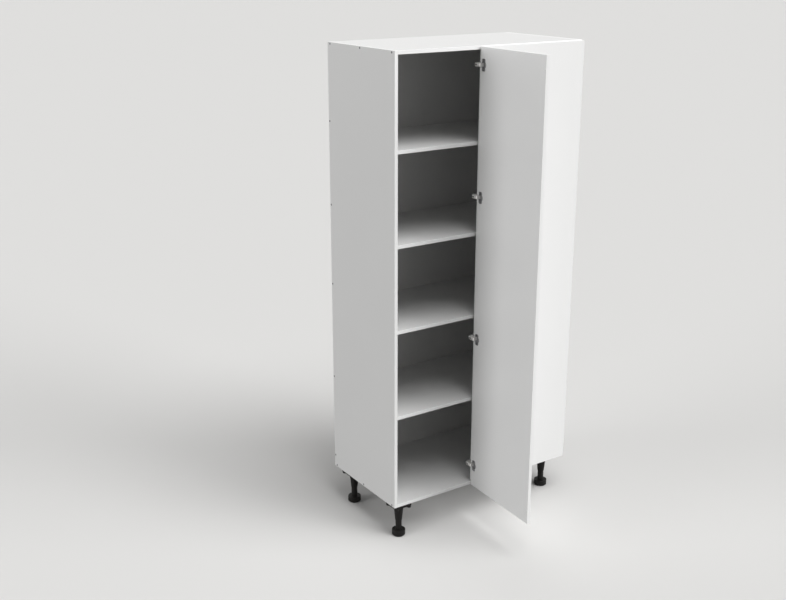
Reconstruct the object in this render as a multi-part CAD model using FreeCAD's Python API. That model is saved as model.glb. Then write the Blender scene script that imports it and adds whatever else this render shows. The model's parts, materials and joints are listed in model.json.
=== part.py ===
import FreeCAD, Part
import math
import os

# Tall blind corner cabinet: a carcass of white board on four levelling legs, loose shelves on pins,
# a fixed front over the blind half, and a plain door hung on four cup hinges beside it.
# The door stands open by a little less than a right angle. Millimetres, +Z up, +Y to the back, X along
# the front.
# The origin is on the floor, under the middle of the box that holds cabinet and open door.

# Carcass
board = 16.0
board_round = 0.5
carcass_height = 2100.0
bottom_compartment = 420.0
second_compartment = 401.0
fourth_compartment = 401.0
top_compartment = 402.0
opening_width = 440.0
blind_width = 563.0
carcass_depth = 545.0
leg_height = 175.0

# Door and blind front
front_board = 16.0
front_top_reveal = 3.0
front_bottom_reveal = 2.0
side_overlay = 8.0
blind_overlay = 3.0
swing_clearance = 0.8
door_rest_angle = 87.2

# Shelves and shelf pins
shelf_front_gap = 4.0
shelf_play = 1.0
pin_radius = 2.5
pin_reach = 9.0
pin_depth = 8.0
pin_hole_spare = 2.0
pin_pitch = 32.0
spare_holes_each_way = 2
pin_column_inset = 40.0

# Hinges, with the heights at which they sit
bottom_hinge_rise = 111.0
second_hinge_drop = 92.0
third_hinge_rise = 171.0
top_hinge_drop = 80.0
hinge_pin_radius = 1.5
eye_radius = 2.6
eye_gap = 0.6
pivot_edge = 7.0
cup_edge_distance = 22.5
cup_radius = 17.5
cup_wall = 1.0
cup_skin = 3.0
cup_floor_gap = 0.4
flange_width = 24.0
flange_height = 54.0
flange_thickness = 1.2
flange_corner = 6.0
flange_round = 0.4
cup_screw_spacing = 45.0
arm_height = 16.0
arm_side_gap = 0.5
arm_setback = 1.0
arm_length = 22.0
arm_corner = 3.0
arm_wall = 1.6
strap_thickness = 3.2
neck_clearance = 2.0
neck_thickness = 10.0
arm_screw_places = (7.0, 16.0)
bracket_thickness = 2.0
bracket_height = 22.0
bracket_length = 32.0
bracket_setback = 2.0
bracket_flange = 36.0
bracket_screw_insets = (12.0, 28.0)

# Bumpers on the door
bumper_radius = 3.0
bumper_end_inset = 60.0
bumper_free_gap = 0.3

# Legs
leg_round = 1.5
leg_left_inset = 55.0
leg_right_inset = 75.0
leg_front_inset = 48.0
blind_leg_inset = 66.0
leg_back_inset = 95.0
leg_plate_size = 94.0
leg_plate_corner = 11.0
leg_plate_thickness = 14.0
leg_boss_offset = 35.0
leg_boss_radius = 10.0
leg_boss_height = 24.0
leg_plate_web = 4.0
collar_top_radius = 24.5
collar_bottom_radius = 16.5
collar_height = 80.0
stem_radius = 15.0
stem_in_foot = 3.0
foot_radius = 32.0
foot_height = 30.0
foot_chamfer = 5.0
foot_floor = 8.0
foot_slide_gap = 0.3
spindle_radius = 8.0
spindle_length = 90.0
foot_rise = 15.0
spindle_end_gap = 3.0

# Screws and dowels: length, shank radius and head radius of each kind
carcass_screw_length = 50.0
carcass_shank = 2.5
carcass_head = 4.75
leg_screw_grip = 12.0
leg_shank = 2.0
leg_head = 4.0
small_screw_length = 14.0
small_shank = 1.6
small_head = 3.3
front_screw_length = 28.0
front_shank = 2.0
front_head = 4.0
arm_screw_shank = 2.0
arm_screw_head = 3.2
arm_screw_head_height = 1.8
socket_share = 0.5
socket_sides = 6
socket_depth = 1.5
front_screw_inset = 23.0
back_screw_inset = 21.0
rear_screw_rises = (44.0, 35.0, 96.0, 88.0, 63.0)
base_screw_inset = 120.0
blind_screw_first = 60.0
blind_screw_second = 330.0
front_fixing_inset = 70.0
dowel_radius = 4.0
dowel_in_top = 10.0
dowel_in_panel = 20.0

# Fits, and how far two directions or two planes may differ and still count as one
fixed_fit = 0.05
running_fit = 0.05
straightness = 1e-6

# Sizes that follow from the ones above
carcass_width = 2 * board + opening_width + blind_width
cup_depth = front_board - cup_skin
pivot_depth = cup_depth - cup_wall - cup_floor_gap - eye_radius
bumper_gap = math.hypot(pivot_edge, pivot_depth) - pivot_depth + swing_clearance
front_gap = math.hypot(pivot_edge, front_board - pivot_depth) - pivot_edge + swing_clearance
door_width = opening_width + side_overlay + blind_overlay
opened = math.radians(door_rest_angle)
door_reach = (bumper_gap + pivot_depth + (door_width - pivot_edge) * math.sin(opened)
              + (front_board - pivot_depth) * math.cos(opened))

# Planes of the carcass
left = -carcass_width / 2
right = carcass_width / 2
front = (door_reach - carcass_depth) / 2
back = front + carcass_depth
bottom = leg_height
top = bottom + carcass_height
inner_left = left + board
inner_right = right - board
panel_edge = inner_left + opening_width
door_edge = panel_edge + blind_overlay
pivot = FreeCAD.Vector(door_edge - pivot_edge, front - bumper_gap - pivot_depth, 0)

UP = FreeCAD.Vector(0, 0, 1)
DOWN = FreeCAD.Vector(0, 0, -1)
TO_LEFT = FreeCAD.Vector(-1, 0, 0)
TO_RIGHT = FreeCAD.Vector(1, 0, 0)
TO_BACK = FreeCAD.Vector(0, 1, 0)

pieces = {}
holes = {}


def box(x0, x1, y0, y1, z0, z1):
    return Part.makeBox(x1 - x0, y1 - y0, z1 - z0, FreeCAD.Vector(x0, y0, z0))


def rod(radius, start, direction, length):
    return Part.makeCylinder(radius, length, start, direction)


def joined(first, *others):
    return first.fuse(list(others)).removeSplitter()


def cut_from(node, shape):
    holes.setdefault(node, []).append(shape)


def add_to_group(node, solid):
    pieces.setdefault(node, []).append(solid)


def aimed(shape, point, direction):
    """Turn a shape built along +Z so that it points along a direction, and set it at a point."""
    turned = shape.copy()
    turned.Placement = FreeCAD.Placement(point, FreeCAD.Rotation(UP, direction))
    return turned


def edges_along(shape, direction):
    return [edge for edge in shape.Edges
            if edge.tangentAt(edge.FirstParameter).cross(direction).Length < straightness]


def eased(shape, radius, axis, place):
    """A shape with the edges that lie in one plane rounded, such as those at X = place."""
    rim = [edge for edge in shape.Edges
           if all(abs(getattr(corner, axis) - place) < straightness for corner in edge.Vertexes)]
    return shape.makeFillet(radius, rim)


def board_box(x0, x1, y0, y1, z0, z1):
    """A board with all its edges eased by a scraper."""
    blank = box(x0, x1, y0, y1, z0, z1)
    return blank.makeFillet(board_round, blank.Edges)


def hexagon(radius, depth):
    corners = []
    for step in range(socket_sides + 1):
        angle = 2 * math.pi * step / socket_sides
        corners.append(FreeCAD.Vector(radius * math.cos(angle), radius * math.sin(angle), 0))
    return Part.Face(Part.makePolygon(corners)).extrude(DOWN * depth)


def countersunk(length, shank, head):
    """A countersunk screw along -Z, its head flush with z = 0."""
    taper = head - shank
    cone = Part.makeCone(shank, head, taper, FreeCAD.Vector(0, 0, -taper))
    return joined(cone, rod(shank, FreeCAD.Vector(0, 0, -length), UP, length - taper))


def screw_in(group, length, shank, head, point, direction, nodes):
    """Put a countersunk screw at a point, its head facing a direction, and drill the boards it holds."""
    solid = countersunk(length, shank, head).cut(hexagon(head * socket_share, socket_depth))
    add_to_group(group, aimed(solid, point, direction))
    hole = countersunk(length + fixed_fit, shank + fixed_fit, head + fixed_fit)
    for node in nodes:
        cut_from(node, aimed(hole, point, direction))


def shelf_undersides():
    """The lower two shelves are set out from the base, the upper two from the top."""
    first = bottom + board + bottom_compartment
    second = first + board + second_compartment
    fourth = top - board - top_compartment - board
    third = fourth - fourth_compartment - board
    return [first, second, third, fourth]


def board_tops():
    """The upper face of the base and of each shelf."""
    return [bottom + board] + [height + board for height in shelf_undersides()]


def make_carcass():
    pieces["left_side_panel"] = board_box(left, inner_left, front, back, bottom, top)
    pieces["right_side_panel"] = board_box(inner_right, right, front, back, bottom, top)
    pieces["top_panel"] = board_box(inner_left, inner_right, front, back, top - board, top)
    pieces["base_panel"] = board_box(inner_left, inner_right, front, back, bottom, bottom + board)
    pieces["back_panel"] = board_box(inner_left, inner_right, back - board, back,
                                     bottom + board, top - board)
    pieces["blind_panel"] = board_box(panel_edge, inner_right, front, front + board,
                                      bottom + board, top - board)


def make_blind_front():
    edge = door_edge + front_gap
    pieces["blind_front"] = board_box(edge, right, front - front_board, front,
                                      bottom + front_bottom_reveal, top - front_top_reveal)
    columns = (edge + front_fixing_inset, right - board - front_fixing_inset)
    levels = (bottom + board + front_fixing_inset, (bottom + top) / 2, top - board - front_fixing_inset)
    for x in columns:
        for z in levels:
            point = FreeCAD.Vector(x, front + board, z)
            screw_in("blind_front_screws", front_screw_length, front_shank, front_head,
                     point, TO_BACK, ("blind_panel", "blind_front"))


def make_carcass_screws():
    sides = (("left", left, TO_LEFT), ("right", right, TO_RIGHT))
    rows = (front + front_screw_inset, (front + back) / 2, back - back_screw_inset)
    rear_levels = [level + rise for level, rise in zip(board_tops(), rear_screw_rises)]
    for name, x, outward in sides:
        places = [(y, top - board / 2, "top_panel") for y in rows]
        places += [(y, bottom + board / 2, "base_panel") for y in rows]
        places += [(back - board / 2, z, "back_panel") for z in rear_levels]
        if name == "right":
            places += [(front + board / 2, z, "blind_panel") for z in rear_levels]
        for y, z, held in places:
            screw_in(name + "_side_screws", carcass_screw_length, carcass_shank, carcass_head,
                     FreeCAD.Vector(x, y, z), outward, (name + "_side_panel", held))


def make_base_screws_and_dowels():
    """Screws up through the base and dowels under the top, for the back and the blind panel."""
    places = [(x, back - board / 2, "back_panel")
              for x in (left + base_screw_inset, (left + right) / 2, right - base_screw_inset)]
    places += [(panel_edge + along, front + board / 2, "blind_panel")
               for along in (blind_screw_first, blind_screw_second)]
    for x, y, held in places:
        screw_in("base_screws", carcass_screw_length, carcass_shank, carcass_head,
                 FreeCAD.Vector(x, y, bottom), DOWN, ("base_panel", held))
        foot_of_dowel = FreeCAD.Vector(x, y, top - board - dowel_in_panel)
        length = dowel_in_panel + dowel_in_top
        add_to_group("top_dowels", rod(dowel_radius, foot_of_dowel, UP, length))
        for node in ("top_panel", held):
            cut_from(node, rod(dowel_radius + fixed_fit, foot_of_dowel, UP, length))


def make_shelves():
    shelf_front = front + board + shelf_front_gap
    shelf_back = back - board - shelf_play
    columns = (shelf_front + pin_column_inset, shelf_back - pin_column_inset)
    for number, level in enumerate(shelf_undersides(), start=1):
        pieces["shelf_%d" % number] = board_box(inner_left + shelf_play, inner_right - shelf_play,
                                                shelf_front, shelf_back, level, level + board)
        for y in columns:
            make_pins("shelf_pins_%d" % number, y, level)


def make_pins(group, y, level):
    """A pin in each side with its flat tongue under the shelf, and the row of holes it is set in."""
    axis_z = level - pin_radius
    for panel, face, inward in (("left_side_panel", inner_left, 1), ("right_side_panel", inner_right, -1)):
        outward = FreeCAD.Vector(-inward, 0, 0)
        shank = rod(pin_radius, FreeCAD.Vector(face, y, axis_z), outward, pin_depth)
        tongue = box(min(face, face + inward * pin_reach), max(face, face + inward * pin_reach),
                     y - pin_radius, y + pin_radius, level - 2 * pin_radius, level)
        add_to_group(group, joined(tongue, shank))
        for step in range(-spare_holes_each_way, spare_holes_each_way + 1):
            start = FreeCAD.Vector(face, y, axis_z + step * pin_pitch)
            cut_from(panel, rod(pin_radius + fixed_fit, start, outward, pin_depth + pin_hole_spare))


def hinge_heights():
    """From the bottom up: over the base, under the second shelf, over the third shelf and under the top."""
    _, second_shelf, third_shelf, _ = shelf_undersides()
    return (bottom + bottom_hinge_rise, second_shelf - second_hinge_drop,
            third_shelf + board + third_hinge_rise, top - top_hinge_drop)


def keyhole(grow, depth):
    """A cup's outline: a round with a throat that reaches the pivot, sunk from the door's inner face."""
    centre_x = pivot_edge - cup_edge_distance
    half_height = arm_height / 2 + arm_side_gap + cup_wall + grow
    end_x = eye_radius + eye_gap + cup_wall + grow
    floor_y = pivot_depth - depth
    cup = rod(cup_radius + grow, FreeCAD.Vector(centre_x, floor_y, 0), TO_BACK, depth)
    throat = box(centre_x, end_x, floor_y, pivot_depth, -half_height, half_height)
    return joined(cup, throat)


def hinge_cup():
    centre_x = pivot_edge - cup_edge_distance
    flange = box(centre_x - flange_width / 2, centre_x + flange_width / 2,
                 pivot_depth, pivot_depth + flange_thickness, -flange_height / 2, flange_height / 2)
    flange = flange.makeFillet(flange_corner, edges_along(flange, TO_BACK))
    flange = eased(flange, flange_round, "Y", pivot_depth + flange_thickness)
    mouth = keyhole(-cup_wall, cup_depth - cup_wall)
    mouth_through_flange = mouth.copy()
    mouth_through_flange.translate(FreeCAD.Vector(0, flange_thickness, 0))
    shell = joined(flange, keyhole(0, cup_depth)).cut([mouth, mouth_through_flange])
    half_length = arm_height / 2 + arm_side_gap + cup_wall
    start = FreeCAD.Vector(0, 0, -half_length)
    return shell.cut(rod(hinge_pin_radius + fixed_fit, start, UP, 2 * half_length))


def hinge_pin():
    half_length = arm_height / 2 + arm_side_gap + cup_wall
    return rod(hinge_pin_radius, FreeCAD.Vector(0, 0, -half_length), UP, 2 * half_length)


def hinge_arm():
    """A gooseneck from the pin to the bracket: strap, neck and a hollow body open to the bracket."""
    half = arm_height / 2
    carcass_plane = pivot_depth + bumper_gap
    neck_right = -(pivot_depth + neck_clearance)
    neck_left = neck_right - neck_thickness
    bracket_face = pivot_edge - blind_overlay - bracket_thickness
    body_front = carcass_plane + arm_setback
    body_back = carcass_plane + arm_length
    eye = rod(eye_radius, FreeCAD.Vector(0, 0, -half), UP, arm_height)
    strap = box(neck_right, 0, -eye_radius, strap_thickness - eye_radius, -half, half)
    neck = box(neck_left, neck_right, -eye_radius, body_front + arm_wall, -half, half)
    body = box(neck_left, bracket_face, body_front, body_back, -half, half)
    casing = eased(joined(neck, body), arm_corner, "X", neck_left)
    hollow = box(neck_left + arm_wall, bracket_face, body_front + arm_wall, body_back - arm_wall,
                 arm_wall - half, half - arm_wall)
    pin_hole = rod(hinge_pin_radius + running_fit, FreeCAD.Vector(0, 0, -half), UP, arm_height)
    return joined(casing, strap, eye).cut([hollow, pin_hole])


def hinge_bracket():
    """An angle of sheet steel: one leg beside the blind panel's edge, one flat on its back."""
    half = bracket_height / 2
    carcass_plane = pivot_depth + bumper_gap
    edge = pivot_edge - blind_overlay
    side_leg = box(edge - bracket_thickness, edge, carcass_plane + bracket_setback,
                   carcass_plane + bracket_length, -half, half)
    panel_back = carcass_plane + board
    back_leg = box(edge - bracket_thickness, edge + bracket_flange, panel_back,
                   panel_back + bracket_thickness, -half, half)
    return joined(side_leg, back_leg)


def make_arm_screws(number, height):
    """Two round-headed screws from the arm's outer face into the bracket."""
    head_face = pivot.x - pivot_depth - neck_clearance - neck_thickness
    length = panel_edge - head_face
    for place in arm_screw_places:
        point = FreeCAD.Vector(head_face, front + place, height)
        head = rod(arm_screw_head, point, TO_LEFT, arm_screw_head_height)
        shank = rod(arm_screw_shank, point, TO_RIGHT, length)
        recess = aimed(hexagon(arm_screw_head * socket_share, socket_depth),
                       point + TO_LEFT * arm_screw_head_height, TO_LEFT)
        add_to_group("arm_screws", joined(head, shank).cut(recess))
        for node in ("hinge_arm_%d", "hinge_bracket_%d"):
            cut_from(node % number, rod(arm_screw_shank + fixed_fit, point, TO_RIGHT, length))


def make_hinges():
    for number, height in enumerate(hinge_heights(), start=1):
        place = FreeCAD.Vector(pivot.x, pivot.y, height)
        parts = {"hinge_bracket": hinge_bracket(), "hinge_arm": hinge_arm(),
                 "hinge_cup": hinge_cup(), "hinge_pin": hinge_pin()}
        for name, shape in parts.items():
            pieces["%s_%d" % (name, number)] = shape.translate(place)
        cut_from("door_panel", keyhole(fixed_fit, cup_depth + fixed_fit).translate(place))
        make_arm_screws(number, height)
        for side in (-1, 1):
            cup_point = FreeCAD.Vector(door_edge - cup_edge_distance, front - bumper_gap + flange_thickness,
                                       height + side * cup_screw_spacing / 2)
            screw_in("cup_screws", small_screw_length, small_shank, small_head, cup_point, TO_BACK,
                     ("hinge_cup_%d" % number, "door_panel"))
        for inset in bracket_screw_insets:
            bracket_point = FreeCAD.Vector(panel_edge + inset, front + board + bracket_thickness, height)
            screw_in("bracket_screws", small_screw_length, small_shank, small_head, bracket_point, TO_BACK,
                     ("hinge_bracket_%d" % number, "blind_panel"))


def make_door():
    """The door and its bumpers, closed. The door is opened with its hinge cups at the end."""
    inner_face = front - bumper_gap
    free_edge = door_edge - door_width
    door_bottom = bottom + front_bottom_reveal
    door_top = top - front_top_reveal
    pieces["door_panel"] = board_box(free_edge, door_edge, inner_face - front_board, inner_face,
                                     door_bottom, door_top)
    for z in (door_bottom + bumper_end_inset, door_top - bumper_end_inset):
        start = FreeCAD.Vector(free_edge + side_overlay / 2, inner_face, z)
        add_to_group("door_bumpers", rod(bumper_radius, start, TO_BACK, bumper_gap - bumper_free_gap))


def leg_boss_places():
    return [(x * leg_boss_offset, y * leg_boss_offset) for x in (-1, 1) for y in (-1, 1)]


def leg_plate():
    """A square plate under the base, a boss at each corner, and a tapered collar that holds the stem."""
    half = leg_plate_size / 2
    plate = box(-half, half, -half, half, -leg_plate_thickness, 0)
    plate = plate.makeFillet(leg_plate_corner, edges_along(plate, UP))
    plate = eased(plate, leg_round, "Z", -leg_plate_thickness)
    bosses = []
    for x, y in leg_boss_places():
        boss = rod(leg_boss_radius, FreeCAD.Vector(x, y, 0), DOWN, leg_boss_height)
        bosses.append(eased(boss, leg_round, "Z", -leg_boss_height))
    foot_of_collar = -leg_plate_thickness - collar_height
    collar = Part.makeCone(collar_bottom_radius, collar_top_radius, collar_height,
                           FreeCAD.Vector(0, 0, foot_of_collar))
    socket_depth_in_plate = -leg_plate_web - foot_of_collar
    socket = rod(stem_radius + fixed_fit, FreeCAD.Vector(0, 0, foot_of_collar), UP, socket_depth_in_plate)
    return joined(plate, collar, *bosses).cut(socket)


def leg_stem():
    stem_top = -leg_plate_web - fixed_fit
    stem_bottom = foot_height - leg_height - stem_in_foot
    stem = rod(stem_radius, FreeCAD.Vector(0, 0, stem_bottom), UP, stem_top - stem_bottom)
    spindle_top = foot_floor - leg_height + spindle_length
    bore_top = spindle_top + foot_rise + spindle_end_gap
    bore = rod(spindle_radius + running_fit, FreeCAD.Vector(0, 0, stem_bottom), UP, bore_top - stem_bottom)
    return stem.cut(bore)


def levelling_foot():
    """A round foot with a chamfered sole, a recess for the stem and a spindle that runs up inside it."""
    sole = Part.makeCone(foot_radius - foot_chamfer, foot_radius, foot_chamfer,
                         FreeCAD.Vector(0, 0, -leg_height))
    drum = rod(foot_radius, FreeCAD.Vector(0, 0, foot_chamfer - leg_height), UP, foot_height - foot_chamfer)
    drum = eased(drum, leg_round, "Z", foot_height - leg_height)
    recess_floor = FreeCAD.Vector(0, 0, foot_floor - leg_height)
    recess = rod(stem_radius + foot_slide_gap, recess_floor, UP, foot_height - foot_floor)
    spindle = rod(spindle_radius, recess_floor, UP, spindle_length)
    return joined(joined(sole, drum).cut(recess), spindle)


def make_legs():
    """Four legs. The one under the blind panel stands further back, clear of the panel's screws."""
    left_x = left + leg_left_inset
    right_x = right - leg_right_inset
    back_y = back - leg_back_inset
    places = {"front_left": (left_x, front + leg_front_inset),
              "front_right": (right_x, front + blind_leg_inset),
              "back_left": (left_x, back_y),
              "back_right": (right_x, back_y)}
    for name, (x, y) in places.items():
        place = FreeCAD.Vector(x, y, bottom)
        pieces[name + "_leg_plate"] = leg_plate().translate(place)
        pieces[name + "_leg_stem"] = leg_stem().translate(place)
        pieces[name + "_foot"] = levelling_foot().translate(place)
        for dx, dy in leg_boss_places():
            point = place + FreeCAD.Vector(dx, dy, -leg_boss_height)
            screw_in("leg_screws", leg_boss_height + leg_screw_grip, leg_shank, leg_head, point, DOWN,
                     (name + "_leg_plate", "base_panel"))


def rides_on_door(node):
    return node.startswith(("door_", "hinge_cup_", "hinge_pin_", "cup_screws"))


def finished(node):
    """A node's shape with its holes drilled, and the door's pieces swung open."""
    shape = pieces[node]
    if isinstance(shape, list):
        shape = Part.makeCompound(shape)
    if node in holes:
        shape = shape.cut(holes[node])
    if rides_on_door(node):
        shape.rotate(pivot, UP, door_rest_angle)
    return shape


make_carcass()
make_blind_front()
make_carcass_screws()
make_base_screws_and_dowels()
make_shelves()
make_door()
make_hinges()
make_legs()

os.makedirs("parts", exist_ok=True)
for node_name in pieces:
    part_shape = finished(node_name)
    part_shape.exportStep("parts/%s.step" % node_name)
    verdict = "valid" if part_shape.isValid() else "NOT VALID"
    print(node_name, len(part_shape.Solids), "solids,", verdict)
print("carcass %.1f x %.1f x %.1f" % (carcass_width, carcass_depth, carcass_height))
print("door %.1f wide" % door_width)
print("gaps: door to carcass %.2f, door to blind front %.2f" % (bumper_gap, front_gap))
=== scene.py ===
# %% [markdown]
# # Dressing a tall blind corner cabinet
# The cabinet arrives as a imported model: white boards, a door on cup hinges, loose shelves and
# four black legs. Its shapes and places are settled, down to the eased edges of the boards, so
# this lesson leaves them alone. It gives each surface its finish, then adds a floor, soft light
# and a camera. The first step loads the model and keeps its size.

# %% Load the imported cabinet
import json
import math

import bpy
from mathutils import Matrix, Vector

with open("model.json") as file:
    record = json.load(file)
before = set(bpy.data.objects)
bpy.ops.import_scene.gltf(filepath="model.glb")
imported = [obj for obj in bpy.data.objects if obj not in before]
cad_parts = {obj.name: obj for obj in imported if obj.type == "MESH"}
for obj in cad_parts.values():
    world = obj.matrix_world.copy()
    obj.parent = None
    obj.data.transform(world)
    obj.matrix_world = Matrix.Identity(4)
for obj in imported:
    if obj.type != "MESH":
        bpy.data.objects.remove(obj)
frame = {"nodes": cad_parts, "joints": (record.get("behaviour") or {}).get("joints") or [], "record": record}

MM = 0.001
scene = bpy.context.scene
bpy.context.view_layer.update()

# %% [markdown]
# ## The camera
# The cabinet is seen from its left and from a little above its top, so the side, the open
# compartments and the inside of the door all show. A camera could be aimed with a constraint.
# A place and two angles do the same and can be read at a glance: how far it turns from the
# cabinet's depth, and how far it looks down.

# %% Camera
CAMERA_PLACE = Vector((-3.0466, -3.8460, 2.6819))
CAMERA_TURN = math.radians(-33.545)
CAMERA_LOOKS_DOWN = math.radians(17.951)
LENS_MM = 50.0
SENSOR_MM = 36.0

camera = bpy.data.objects.new("camera", bpy.data.cameras.new("camera"))
camera.data.lens = LENS_MM
camera.data.sensor_width = SENSOR_MM
camera.location = CAMERA_PLACE
camera.rotation_euler = (math.pi / 2 - CAMERA_LOOKS_DOWN, 0.0, CAMERA_TURN)
scene.collection.objects.link(camera)
scene.camera = camera
print("camera stands", round(CAMERA_PLACE.z, 2), "m high")

# %% [markdown]
# ## Small tools for node finishes
# Every finish below is a small tree of nodes. Written out in full, each node takes four or five
# lines, so a few helpers shorten them: one puts a node in the tree, one does a sum, one blends
# two colours. A value that is a socket is linked, and anything else is set on the input. Most
# sockets go by name, but those of a colour mix share theirs, so they go by number.

# %% Helpers for node trees
MIX_SHARE, MIX_FIRST, MIX_SECOND = 0, 6, 7
MIX_RESULT = 2


def put(tree, kind, inputs=None, **settings):
    node = tree.nodes.new(kind)
    for name, value in settings.items():
        setattr(node, name, value)
    for name, value in (inputs or {}).items():
        if isinstance(value, bpy.types.NodeSocket):
            tree.links.new(value, node.inputs[name])
        else:
            node.inputs[name].default_value = value
    return node


def sum_of(tree, operation, *values):
    return put(tree, "ShaderNodeMath", dict(enumerate(values)), operation=operation).outputs[0]


def blend(tree, share, first, second):
    """The first colour where the share is 0, the second where it is 1."""
    inputs = {MIX_SHARE: share, MIX_FIRST: first, MIX_SECOND: second}
    return put(tree, "ShaderNodeMix", inputs, data_type="RGBA").outputs[MIX_RESULT]


print("node helpers ready")

# %% [markdown]
# ## Small tools for patterns
# No surface on a real cabinet is quite even. Painted pictures could carry the wear and the grain,
# but they blur close up. Noise worked out from the place of each point stays sharp at any
# distance, so the patterns here are noise, and a smooth step marks where one surface ends.


# %% Helpers for patterns
def tinted(colour, times=1.0):
    return [min(1.0, times * part) for part in colour] + [1.0]


def noise(tree, place, size=1.0, detail=2.0):
    """Soft noise whose patches are about one size across."""
    inputs = {"Vector": place, "Scale": 1.0 / size, "Detail": detail}
    return put(tree, "ShaderNodeTexNoise", inputs).outputs[0]


def stretched(tree, place, scale):
    """A place with each axis scaled on its own, which draws a pattern out."""
    return put(tree, "ShaderNodeMapping", {"Vector": place, "Scale": scale}).outputs[0]


def step_down(tree, value, start, end):
    """1 below start, 0 above end, and smooth between."""
    inputs = {"Value": value, "From Min": start, "From Max": end, "To Min": 1.0, "To Max": 0.0}
    return put(tree, "ShaderNodeMapRange", inputs, interpolation_type="SMOOTHSTEP").outputs[0]


print("pattern helpers ready")

# %% [markdown]
# ## Starting and ending a finish
# All finishes start alike, from a new material whose patterns are laid out in the piece's own
# place, so that a pattern travels with its piece when the door swings. Patterns could be pinned to
# an unwrapped sheet of each piece, but plain boards have no need of one. The finishes end alike
# too: a bump for the grain, a roughness that varies with it, and the material set on the piece.


# %% Helpers for finishes
def new_finish(name):
    material = bpy.data.materials.new(name)
    material.use_nodes = True
    tree = material.node_tree
    place = put(tree, "ShaderNodeTexCoord").outputs["Object"]
    return material, tree, tree.nodes["Principled BSDF"], place


def set_grain(tree, shader, grain, roughness, spread, strength, depth):
    """Roughness that varies about one value with the grain, and a bump of the same grain."""
    rough = sum_of(tree, "MULTIPLY_ADD", grain, spread, roughness - spread / 2)
    tree.links.new(rough, shader.inputs["Roughness"])
    bump = put(tree, "ShaderNodeBump", {"Height": grain, "Strength": strength, "Distance": depth})
    tree.links.new(bump.outputs[0], shader.inputs["Normal"])
    return rough


def pieces_of(slot):
    """The names of the pieces that share one material slot of the record."""
    return [part["node"] for part in frame["record"]["subparts"] if part["material_slot"] == slot]


def dress(node_name, material):
    piece = frame["nodes"][node_name]
    piece.data.materials.clear()
    piece.data.materials.append(material)


print("finish helpers ready")

# %% [markdown]
# ## Where a point lies in a board
# Carcass boards are chipboard under a white film. Their front edges are closed with a plastic tape
# a millimetre thick, and edges that face the wall are left raw. The tape could be thin strips of
# mesh, but it lies flush in the board, so the finish draws it instead, and for that it measures
# how far each point lies from the faces of its board.
# The door stands at an angle, so its points are first turned square to the axes. Its joint says
# by how much: the door can close by as far as it stands open.

# %% Distances from the faces of a board
AXES = "XYZ"
ALL_FACES = ("-X", "+X", "-Y", "+Y", "-Z", "+Z")
door_joint = next(joint for joint in frame["joints"] if joint["name"] == "door_swing")
DOOR_ANGLE = -math.radians(door_joint["range_deg"][0])


def square_box(node_name, turn):
    """The low and high corner of a board after it is turned square to the axes."""
    square = Matrix.Rotation(-turn, 3, "Z")
    corners = [square @ vertex.co for vertex in frame["nodes"][node_name].data.vertices]
    low = [min(corner[axis] for corner in corners) for axis in range(3)]
    high = [max(corner[axis] for corner in corners) for axis in range(3)]
    return low, high


def depth_inside(tree, place, box, faces):
    """How far a point lies inside the nearest of some faces of a box, written like -Y or +Z."""
    low, high = box
    split = put(tree, "ShaderNodeSeparateXYZ", {0: place})
    nearest = None
    for sign, letter in faces:
        axis = AXES.index(letter)
        along = split.outputs[axis]
        if sign == "-":
            depth = sum_of(tree, "SUBTRACT", along, low[axis])
        else:
            depth = sum_of(tree, "SUBTRACT", high[axis], along)
        nearest = depth if nearest is None else sum_of(tree, "MINIMUM", nearest, depth)
    return nearest


print("the door stands open by", round(math.degrees(DOOR_ANGLE), 1), "degrees")

# %% [markdown]
# ## Film, tape and chips
# The film is paper soaked in resin, and its white drifts by a hair over the length of a forearm.
# The tape is plastic, a little whiter, with a thin grey glue line where it meets the film. On a
# raw edge and inside every drilled hole the chips show, each in a brown of its own. A photograph
# of chipboard could be laid on, but cells of random tone look much the same and need no picture.

# %% Colours of a board
CLOUD = 350 * MM
CLOUD_SHADE = 0.975
TAPE = 1.0 * MM
TAPE_WHITE = (0.90, 0.90, 0.895)
GLUE_LINE = 0.25 * MM
GLUE_SHADE = 0.72
CHIP = 2.2 * MM
CHIP_DARK = (0.36, 0.24, 0.13)
CHIP_PALE = (0.66, 0.50, 0.31)


def film_colour(tree, place, box, taped, colour):
    """The white of the film, with the tape and its glue line along the taped edges."""
    film = blend(tree, noise(tree, place, CLOUD), tinted(colour, CLOUD_SHADE), tinted(colour))
    if taped:
        depth = depth_inside(tree, place, box, taped)
        on_tape = step_down(tree, depth, TAPE, TAPE + GLUE_LINE)
        past_tape = step_down(tree, sum_of(tree, "SUBTRACT", TAPE, depth), 0.0, GLUE_LINE)
        on_glue = sum_of(tree, "MULTIPLY", on_tape, past_tape)
        film = blend(tree, on_tape, film, tinted(TAPE_WHITE))
        film = blend(tree, on_glue, film, tinted(colour, GLUE_SHADE))
    return film


def chip_colour(tree, place):
    cells = put(tree, "ShaderNodeTexVoronoi", {"Vector": place, "Scale": 1.0 / CHIP})
    return blend(tree, cells.outputs["Color"], tinted(CHIP_DARK), tinted(CHIP_PALE))


print("tape", TAPE / MM, "mm thick, chips", CHIP / MM, "mm across")

# %% [markdown]
# ## White melamine board
# The film is pressed under a plate with a faint pearl, which breaks up what the board mirrors. Bare
# chipboard is duller. A board could take two materials, one for film and one for chips, but then
# its mesh would have to be cut along the border. One finish that blends by depth leaves it whole.

# %% Board finish
SKIN = 0.45 * MM
SKIN_END = 1.2 * SKIN
RAW_DEPTH = 0.15 * MM
RAW_END = 2 * RAW_DEPTH
BARE_DULLNESS = 0.4
PEARL = 1.3 * MM
PEARL_DETAIL = 3.0
PEARL_RELIEF = {"spread": 0.10, "strength": 0.12, "depth": 0.05 * MM}


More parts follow.
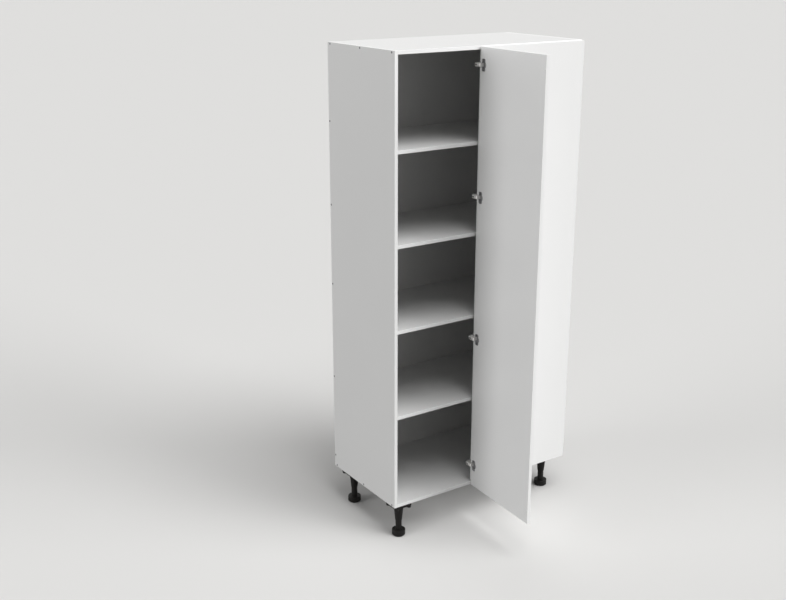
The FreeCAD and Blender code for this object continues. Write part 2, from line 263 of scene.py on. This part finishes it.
def bare_share(tree, place, box, raw):
    """1 where the chips lie bare: below the skin, and on the raw edges."""
    within_skin = step_down(tree, depth_inside(tree, place, box, ALL_FACES), SKIN, SKIN_END)
    bare = sum_of(tree, "SUBTRACT", 1.0, within_skin)
    if raw:
        on_raw = step_down(tree, depth_inside(tree, place, box, raw), RAW_DEPTH, RAW_END)
        bare = sum_of(tree, "MAXIMUM", bare, on_raw)
    return bare


def board_finish(node_name, taped, raw, colour, roughness, turn=0.0):
    material, tree, shader, place = new_finish(node_name + "_finish")
    if turn:
        turned = {"Vector": place, "Angle": -turn}
        place = put(tree, "ShaderNodeVectorRotate", turned, rotation_type="Z_AXIS").outputs[0]
    box = square_box(node_name, turn)
    film = film_colour(tree, place, box, taped, colour)
    bare = bare_share(tree, place, box, raw)
    surface = blend(tree, bare, film, chip_colour(tree, place))
    tree.links.new(surface, shader.inputs["Base Color"])
    pearl = noise(tree, place, PEARL, PEARL_DETAIL)
    rough = set_grain(tree, shader, pearl, roughness, **PEARL_RELIEF)
    dull = sum_of(tree, "MULTIPLY_ADD", bare, BARE_DULLNESS, rough)
    tree.links.new(dull, shader.inputs["Roughness"])
    return material


print("board finish ready, skin", SKIN / MM, "mm")

# %% [markdown]
# ## Dressing the boards
# The carcass is white board in a grey that is partly its own duller white and partly painted shade,
# which keeps the compartments dark. The door and the blind front are brighter and a little
# smoother, and taped all round. Each carcass board could be painted by hand, face by face. A table
# is shorter: it says for each board which edges are taped, and then which are raw.

# %% Dress the carcass
# The grey of the carcass is partly its own duller white and partly painted shade, which keeps the
# compartments dark.
CARCASS_WHITE_WITH_PAINTED_SHADE = (0.73, 0.73, 0.725)
CARCASS_ROUGHNESS = 0.42
SHELF_COUNT = 4
FRONT_TAPED = (("-Y",), ("+Y", "-X", "+X"))
CARCASS = {
    "left_side_panel": (("-Y", "+Z", "-Z"), ("+Y",)),
    "right_side_panel": (("-Y", "+Z", "-Z"), ("+Y",)),
    "top_panel": FRONT_TAPED,
    "base_panel": FRONT_TAPED,
    "back_panel": ((), ("-X", "+X", "-Z", "+Z")),
    "blind_panel": (("-X",), ("+X", "-Z", "+Z")),
}
for number in range(1, SHELF_COUNT + 1):
    CARCASS["shelf_%d" % number] = FRONT_TAPED
for node_name, (taped, raw) in CARCASS.items():
    dress(node_name, board_finish(node_name, taped, raw, CARCASS_WHITE_WITH_PAINTED_SHADE, CARCASS_ROUGHNESS))
print("dressed", len(CARCASS), "boards of the carcass")

# %% Dress the fronts
FRONT_WHITE = (0.89, 0.89, 0.885)
FRONT_ROUGHNESS = 0.36
FRONT_EDGES = ("-X", "+X", "-Z", "+Z")
FRONT_TURNS = {"door_panel": DOOR_ANGLE, "blind_front": 0.0}
for node_name, turn in FRONT_TURNS.items():
    finish = board_finish(node_name, FRONT_EDGES, (), FRONT_WHITE, FRONT_ROUGHNESS, turn)
    dress(node_name, finish)
print("dressed", len(FRONT_TURNS), "fronts")

# %% [markdown]
# ## Steel of the hinges, pins and screws
# Hinge pressings are nickel-plated strip. The rolls leave faint streaks along the strip, and they
# still show through the thin plating. Anisotropic shading could give them, but it needs a tangent
# on every small part. Noise stretched along one axis gives streaks that hold in any light, so that
# is used here.

# %% Steel finish
STREAK_ACROSS = 1.1 * MM
STREAK_ALONG = 25 * MM
STREAK_DETAIL = 3.0
STREAK_SHADE = 0.8
STREAK_RELIEF = {"spread": 0.2, "strength": 0.15, "depth": 0.02 * MM}
BARE_METAL = 1.0


def steel_finish(name, colour, roughness, streak_axis):
    material, tree, shader, place = new_finish(name)
    scale = [1 / STREAK_ACROSS] * 3
    scale[AXES.index(streak_axis)] = 1 / STREAK_ALONG
    streaks = noise(tree, stretched(tree, place, scale), detail=STREAK_DETAIL)
    streaked = blend(tree, streaks, tinted(colour, STREAK_SHADE), tinted(colour))
    tree.links.new(streaked, shader.inputs["Base Color"])
    shader.inputs["Metallic"].default_value = BARE_METAL
    set_grain(tree, shader, streaks, roughness, **STREAK_RELIEF)
    return material


print("steel finish ready, streaks", STREAK_ALONG / MM, "mm long")

# %% Dress the steel
STEELS = {
    "hinge_steel": steel_finish(
        "pressed_nickel", colour=(0.44, 0.44, 0.45), roughness=0.38, streak_axis="Z"),
    # The arm's near-white colour is a painted highlight on nickel, paler than the other pressings, so the
    # arm shows bright in the shade beside the door.
    "arm_steel": steel_finish(
        "arm_nickel_painted_highlight", colour=(0.92, 0.91, 0.89), roughness=0.58, streak_axis="Y"),
    "pin_steel": steel_finish(
        "pin_zinc", colour=(0.56, 0.56, 0.58), roughness=0.34, streak_axis="X"),
    "screw_steel": steel_finish(
        "screw_dark_zinc", colour=(0.20, 0.20, 0.21), roughness=0.42, streak_axis="X"),
}
for slot, finish in STEELS.items():
    for node_name in pieces_of(slot):
        dress(node_name, finish)
    print("dressed", len(pieces_of(slot)), "pieces of", slot)

# %% [markdown]
# ## Black plastic legs and soft bumpers
# The legs are moulded in black plastic. The steel mould is eroded by sparks, which leaves a fine
# even grain, and handling rubs it a little paler in patches. The grain could be modelled, but it is
# finer than any mesh here, so it is noise in the bump and the roughness. The bumpers on the door
# are the same recipe in milky plastic.

# %% Plastic finish
PLASTIC_SHEEN = 0.2
PLASTIC_DETAIL = 4.0
RUBBED_PATCH = 30 * MM
RUBBED_SHADE = 1.6
PLASTIC_RELIEF = {"spread": 0.18, "strength": 0.25}


def plastic_finish(name, colour, roughness, grain_size, depth):
    material, tree, shader, place = new_finish(name)
    grain = noise(tree, place, grain_size, PLASTIC_DETAIL)
    rubbed = noise(tree, place, RUBBED_PATCH)
    worn = blend(tree, rubbed, tinted(colour), tinted(colour, RUBBED_SHADE))
    tree.links.new(worn, shader.inputs["Base Color"])
    shader.inputs["Specular IOR Level"].default_value = PLASTIC_SHEEN
    set_grain(tree, shader, grain, roughness, depth=depth, **PLASTIC_RELIEF)
    return material


leg_plastic = plastic_finish(
    "leg_plastic", colour=(0.007, 0.0065, 0.006), roughness=0.55,
    grain_size=0.6 * MM, depth=0.05 * MM)
for node_name in pieces_of("leg_plastic"):
    dress(node_name, leg_plastic)
bumper_plastic = plastic_finish(
    "bumper_plastic", colour=(0.60, 0.60, 0.59), roughness=0.45,
    grain_size=1.0 * MM, depth=0.02 * MM)
dress("door_bumpers", bumper_plastic)
print("dressed", len(pieces_of("leg_plastic")), "pieces of the legs, and the bumpers")

# %% [markdown]
# ## Beech dowels
# The top panel is held down on its uprights by plain beech dowels, glued and hidden in their holes.
# Beech is pale, with short darker flecks along the grain. A wood picture could be wrapped round
# them, but noise drawn out along the dowel is enough for a piece that only shows when the cabinet
# is taken apart.

# %% Dowel finish
BEECH = (0.62, 0.44, 0.26)
BEECH_ROUGHNESS = 0.6
FLECKS_PER_METRE = (900.0, 900.0, 90.0)
FLECK_DETAIL = 3.0
FLECK_SHADE = 0.7
BETWEEN_FLECKS = 1.1
FLECK_RELIEF = {"spread": 0.1, "strength": 0.2, "depth": 0.05 * MM}

beech, tree, shader, place = new_finish("dowel_beech")
flecks = noise(tree, stretched(tree, place, FLECKS_PER_METRE), detail=FLECK_DETAIL)
flecked = blend(tree, flecks, tinted(BEECH, FLECK_SHADE), tinted(BEECH, BETWEEN_FLECKS))
tree.links.new(flecked, shader.inputs["Base Color"])
set_grain(tree, shader, flecks, BEECH_ROUGHNESS, **FLECK_RELIEF)
dress("top_dowels", beech)
print("dressed the dowels")

# %% [markdown]
# ## The floor
# The cabinet stands on a plain pale floor, so wide that its far edge never comes into view. A dull
# floor throws little light up into the compartments. It could simply be painted darker, but the
# pale tone sets the cabinet off better, so the floor shows one tone to the camera and throws a
# darker one back. The shadow of the cabinet still falls on it.

# %% Floor
FLOOR_SIZE = 400.0
FLOOR_SHOWN = (0.63, 0.626, 0.617)
FLOOR_THROWN = (0.14, 0.138, 0.134)
FLOOR_ROUGHNESS = 0.9
NO_SHEEN = 0.0


def looked_at(tree):
    """1 where a ray comes from the camera or a mirror, 0 where it only carries light."""
    paths = put(tree, "ShaderNodeLightPath").outputs
    mirrored = sum_of(tree, "MAXIMUM", paths["Is Glossy Ray"], paths["Is Transmission Ray"])
    return sum_of(tree, "MAXIMUM", paths["Is Camera Ray"], mirrored)


bpy.ops.mesh.primitive_plane_add(size=FLOOR_SIZE)
floor = bpy.context.object
floor.name = "floor"
floor_finish, tree, shader, _ = new_finish("floor")
floor_colour = blend(tree, looked_at(tree), tinted(FLOOR_THROWN), tinted(FLOOR_SHOWN))
tree.links.new(floor_colour, shader.inputs["Base Color"])
shader.inputs["Roughness"].default_value = FLOOR_ROUGHNESS
shader.inputs["Specular IOR Level"].default_value = NO_SHEEN
floor.data.materials.append(floor_finish)
print("floor", FLOOR_SIZE, "m wide")

# %% [markdown]
# ## Light
# A white room lights a cabinet from all sides. A large window in front of it adds a soft key, the
# ceiling lights what faces up, the wall on the left fills the side and the inside of the door, and
# a little comes from behind. Here the world is the room, and four suns with wide discs are the
# rest. Square lamps could do the same, but their light falls off across so tall a piece and leaves
# the floor in pools.

# %% Lamps
ROOM_LIGHT = 0.18
SUNS = {
    "window": {"azimuth": 36, "elevation": 22, "disc": 38, "strength": 2.0},
    "ceiling": {"azimuth": 10, "elevation": 67, "disc": 42, "strength": 2.0},
    "far_wall": {"azimuth": -97, "elevation": 15, "disc": 40, "strength": 1.44},
    "behind": {"azimuth": 190, "elevation": 12, "disc": 36, "strength": 0.72},
}


def soft_sun(name, azimuth, elevation, disc, strength):
    """A sun with a wide disc, its azimuth measured to the right from straight in front.

    It gives back what it adds to a white floor."""
    turn, rise = math.radians(azimuth), math.radians(elevation)
    level = math.cos(rise)
    towards = Vector((math.sin(turn) * level, -math.cos(turn) * level, math.sin(rise)))
    lamp = bpy.data.objects.new(name, bpy.data.lights.new(name, "SUN"))
    lamp.data.angle = math.radians(disc)
    lamp.data.energy = strength
    lamp.rotation_euler = towards.to_track_quat("Z", "Y").to_euler()
    scene.collection.objects.link(lamp)
    return strength * math.sin(rise) / math.pi


on_floor = ROOM_LIGHT
for name, sun in SUNS.items():
    on_floor += soft_sun(name, **sun)
print("a white floor would show", round(on_floor, 2), "of full white")

# %% [markdown]
# ## The room behind
# Past the far edge of the floor the camera sees the world. A backdrop could be bent up behind the
# cabinet, but it would stand in the way of other views. So the world shows the tone of the lit
# floor there, and no horizon cuts across the picture, while the light that it sends out stays that
# of a white room.

# %% World
world = bpy.data.worlds.new("room")
scene.world = world
world.use_nodes = True
room = world.node_tree
room_light = tinted([ROOM_LIGHT] * 3)
room_tone = blend(room, looked_at(room), room_light, tinted(FLOOR_SHOWN, on_floor))
room.links.new(room_tone, room.nodes["Background"].inputs["Color"])
scene.view_settings.view_transform = "Standard"
print("room set to the tone of the floor")
